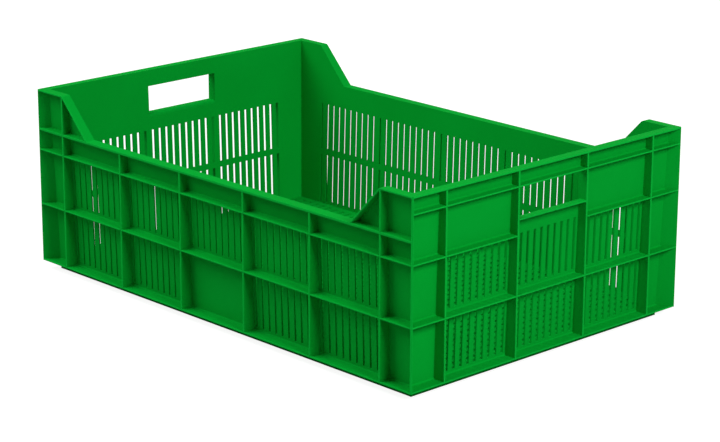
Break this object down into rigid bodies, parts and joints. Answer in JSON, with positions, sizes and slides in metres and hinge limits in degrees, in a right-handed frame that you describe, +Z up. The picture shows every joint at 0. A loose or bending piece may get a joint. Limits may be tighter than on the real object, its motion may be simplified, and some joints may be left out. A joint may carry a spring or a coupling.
{
  "type": "perforated produce crate",
  "caption": "Open stacking produce crate with slotted drafted walls, outside ribs and bands, a lattice floor, raised corner posts and a hand-hold in each end.",
  "frame": {"origin": "middle of the footprint at the underside of the stacking base, on the ground", "axes": "+X along the long walls, +Y along the end walls, +Z up"},
  "size_m": [0.6, 0.4, 0.21],
  "materials": {
    "green_plastic": "satin moulded, dyed green throughout"
  },
  "bodies": {
    "root": {"back_base_flange": "green_plastic", "back_base_rail": "green_plastic", "back_left_cap": "green_plastic", "back_left_post": "green_plastic", "back_left_web": "green_plastic", "back_lower_band": "green_plastic", "back_ribs": "green_plastic", "back_right_cap": "green_plastic", "back_right_post": "green_plastic", "back_right_web": "green_plastic", "back_rim": "green_plastic", "back_upper_band": "green_plastic", "back_wall": "green_plastic", "floor_cross_bars": "green_plastic", "floor_long_bars": "green_plastic", "front_base_flange": "green_plastic", "front_base_rail": "green_plastic", "front_left_cap": "green_plastic", "front_left_post": "green_plastic", "front_left_web": "green_plastic", "front_lower_band": "green_plastic", "front_ribs": "green_plastic", "front_right_cap": "green_plastic", "front_right_post": "green_plastic", "front_right_web": "green_plastic", "front_rim": "green_plastic", "front_upper_band": "green_plastic", "front_wall": "green_plastic", "left_back_cheek": "green_plastic", "left_base_flange": "green_plastic", "left_base_rail": "green_plastic", "left_collar": "green_plastic", "left_end_wall": "green_plastic", "left_front_cheek": "green_plastic", "left_grip_panel": "green_plastic", "left_handle_lip": "green_plastic", "left_lower_band": "green_plastic", "left_ribs": "green_plastic", "left_rim": "green_plastic", "left_upper_band": "green_plastic", "right_back_cheek": "green_plastic", "right_base_flange": "green_plastic", "right_base_rail": "green_plastic", "right_collar": "green_plastic", "right_end_wall": "green_plastic", "right_front_cheek": "green_plastic", "right_grip_panel": "green_plastic", "right_handle_lip": "green_plastic", "right_lower_band": "green_plastic", "right_ribs": "green_plastic", "right_rim": "green_plastic", "right_upper_band": "green_plastic"}
  },
  "joints": []
}
